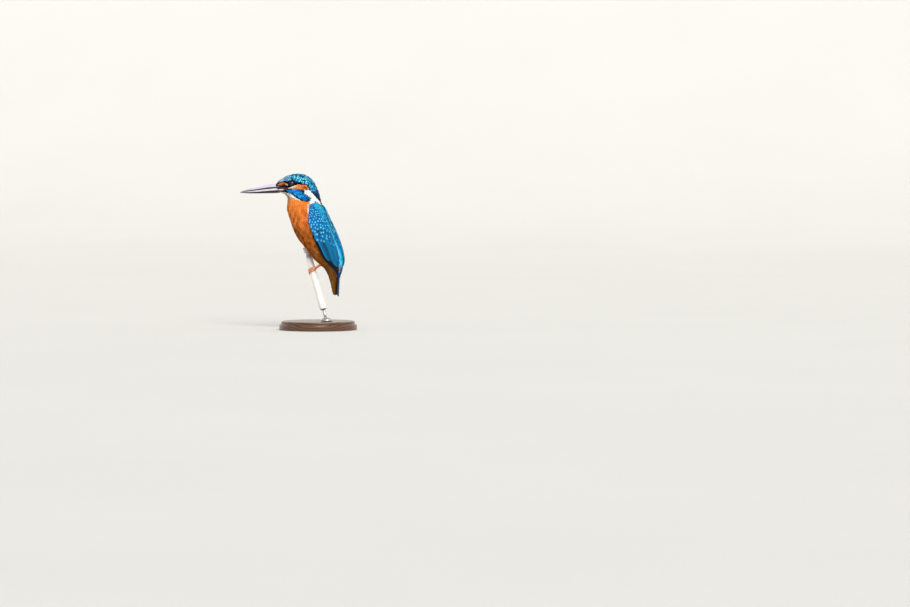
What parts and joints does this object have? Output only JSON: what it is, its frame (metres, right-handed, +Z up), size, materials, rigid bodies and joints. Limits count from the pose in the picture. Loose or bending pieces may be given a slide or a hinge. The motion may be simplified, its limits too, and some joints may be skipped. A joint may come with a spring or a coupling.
{
  "type": "common kingfisher",
  "caption": "Still, life-size common kingfisher gripping an upright cut length of reed, held above a plain round display base by one short rod.",
  "frame": {"origin": "centre of the display base's flat underside", "axes": "+Z up; the bird's bill points along -X and its left side faces -Y"},
  "size_m": [0.1194, 0.08, 0.1607],
  "materials": {
    "crown_blue": "dark greenish-blue feathers barred with turquoise",
    "back_azure": "brilliant azure feathers",
    "wing_blue": "greenish-blue feathers with pale turquoise spots",
    "breast_orange": "bright orange feathers",
    "tail_blue": "dark blue feathers, black underneath",
    "bill_black": "black horn with a grey sheen",
    "eye_dark": "dark brown, wet gloss",
    "foot_red": "coral red scaly skin",
    "claw_dark": "dark horn",
    "reed_straw": "dry pale reed",
    "stand_wood": "dark oiled hardwood",
    "stand_steel": "satin"
  },
  "bodies": {
    "root": {"bill_lower": "bill_black", "bill_upper": "bill_black", "claw_left_hind": "claw_dark", "claw_left_inner": "claw_dark", "claw_left_middle": "claw_dark", "claw_left_outer": "claw_dark", "claw_right_hind": "claw_dark", "claw_right_inner": "claw_dark", "claw_right_middle": "claw_dark", "claw_right_outer": "claw_dark", "eye_left": "eye_dark", "eye_right": "eye_dark", "head": "crown_blue", "neck": "breast_orange", "perch_reed": "reed_straw", "perch_sheath": "reed_straw", "rump": "back_azure", "stand_base": "stand_wood", "stand_rod": "stand_steel", "stand_socket": "stand_steel", "tail": "tail_blue", "tarsus_left": "foot_red", "tarsus_right": "foot_red", "thigh_left": "breast_orange", "thigh_right": "breast_orange", "toe_left_hind": "foot_red", "toe_left_inner": "foot_red", "toe_left_middle": "foot_red", "toe_left_outer": "foot_red", "toe_right_hind": "foot_red", "toe_right_inner": "foot_red", "toe_right_middle": "foot_red", "toe_right_outer": "foot_red", "trunk": "breast_orange", "wing_left_coverts": "wing_blue", "wing_left_primaries": "wing_blue", "wing_left_scapulars": "wing_blue", "wing_left_secondaries": "wing_blue", "wing_right_coverts": "wing_blue", "wing_right_primaries": "wing_blue", "wing_right_scapulars": "wing_blue", "wing_right_secondaries": "wing_blue"}
  },
  "joints": []
}
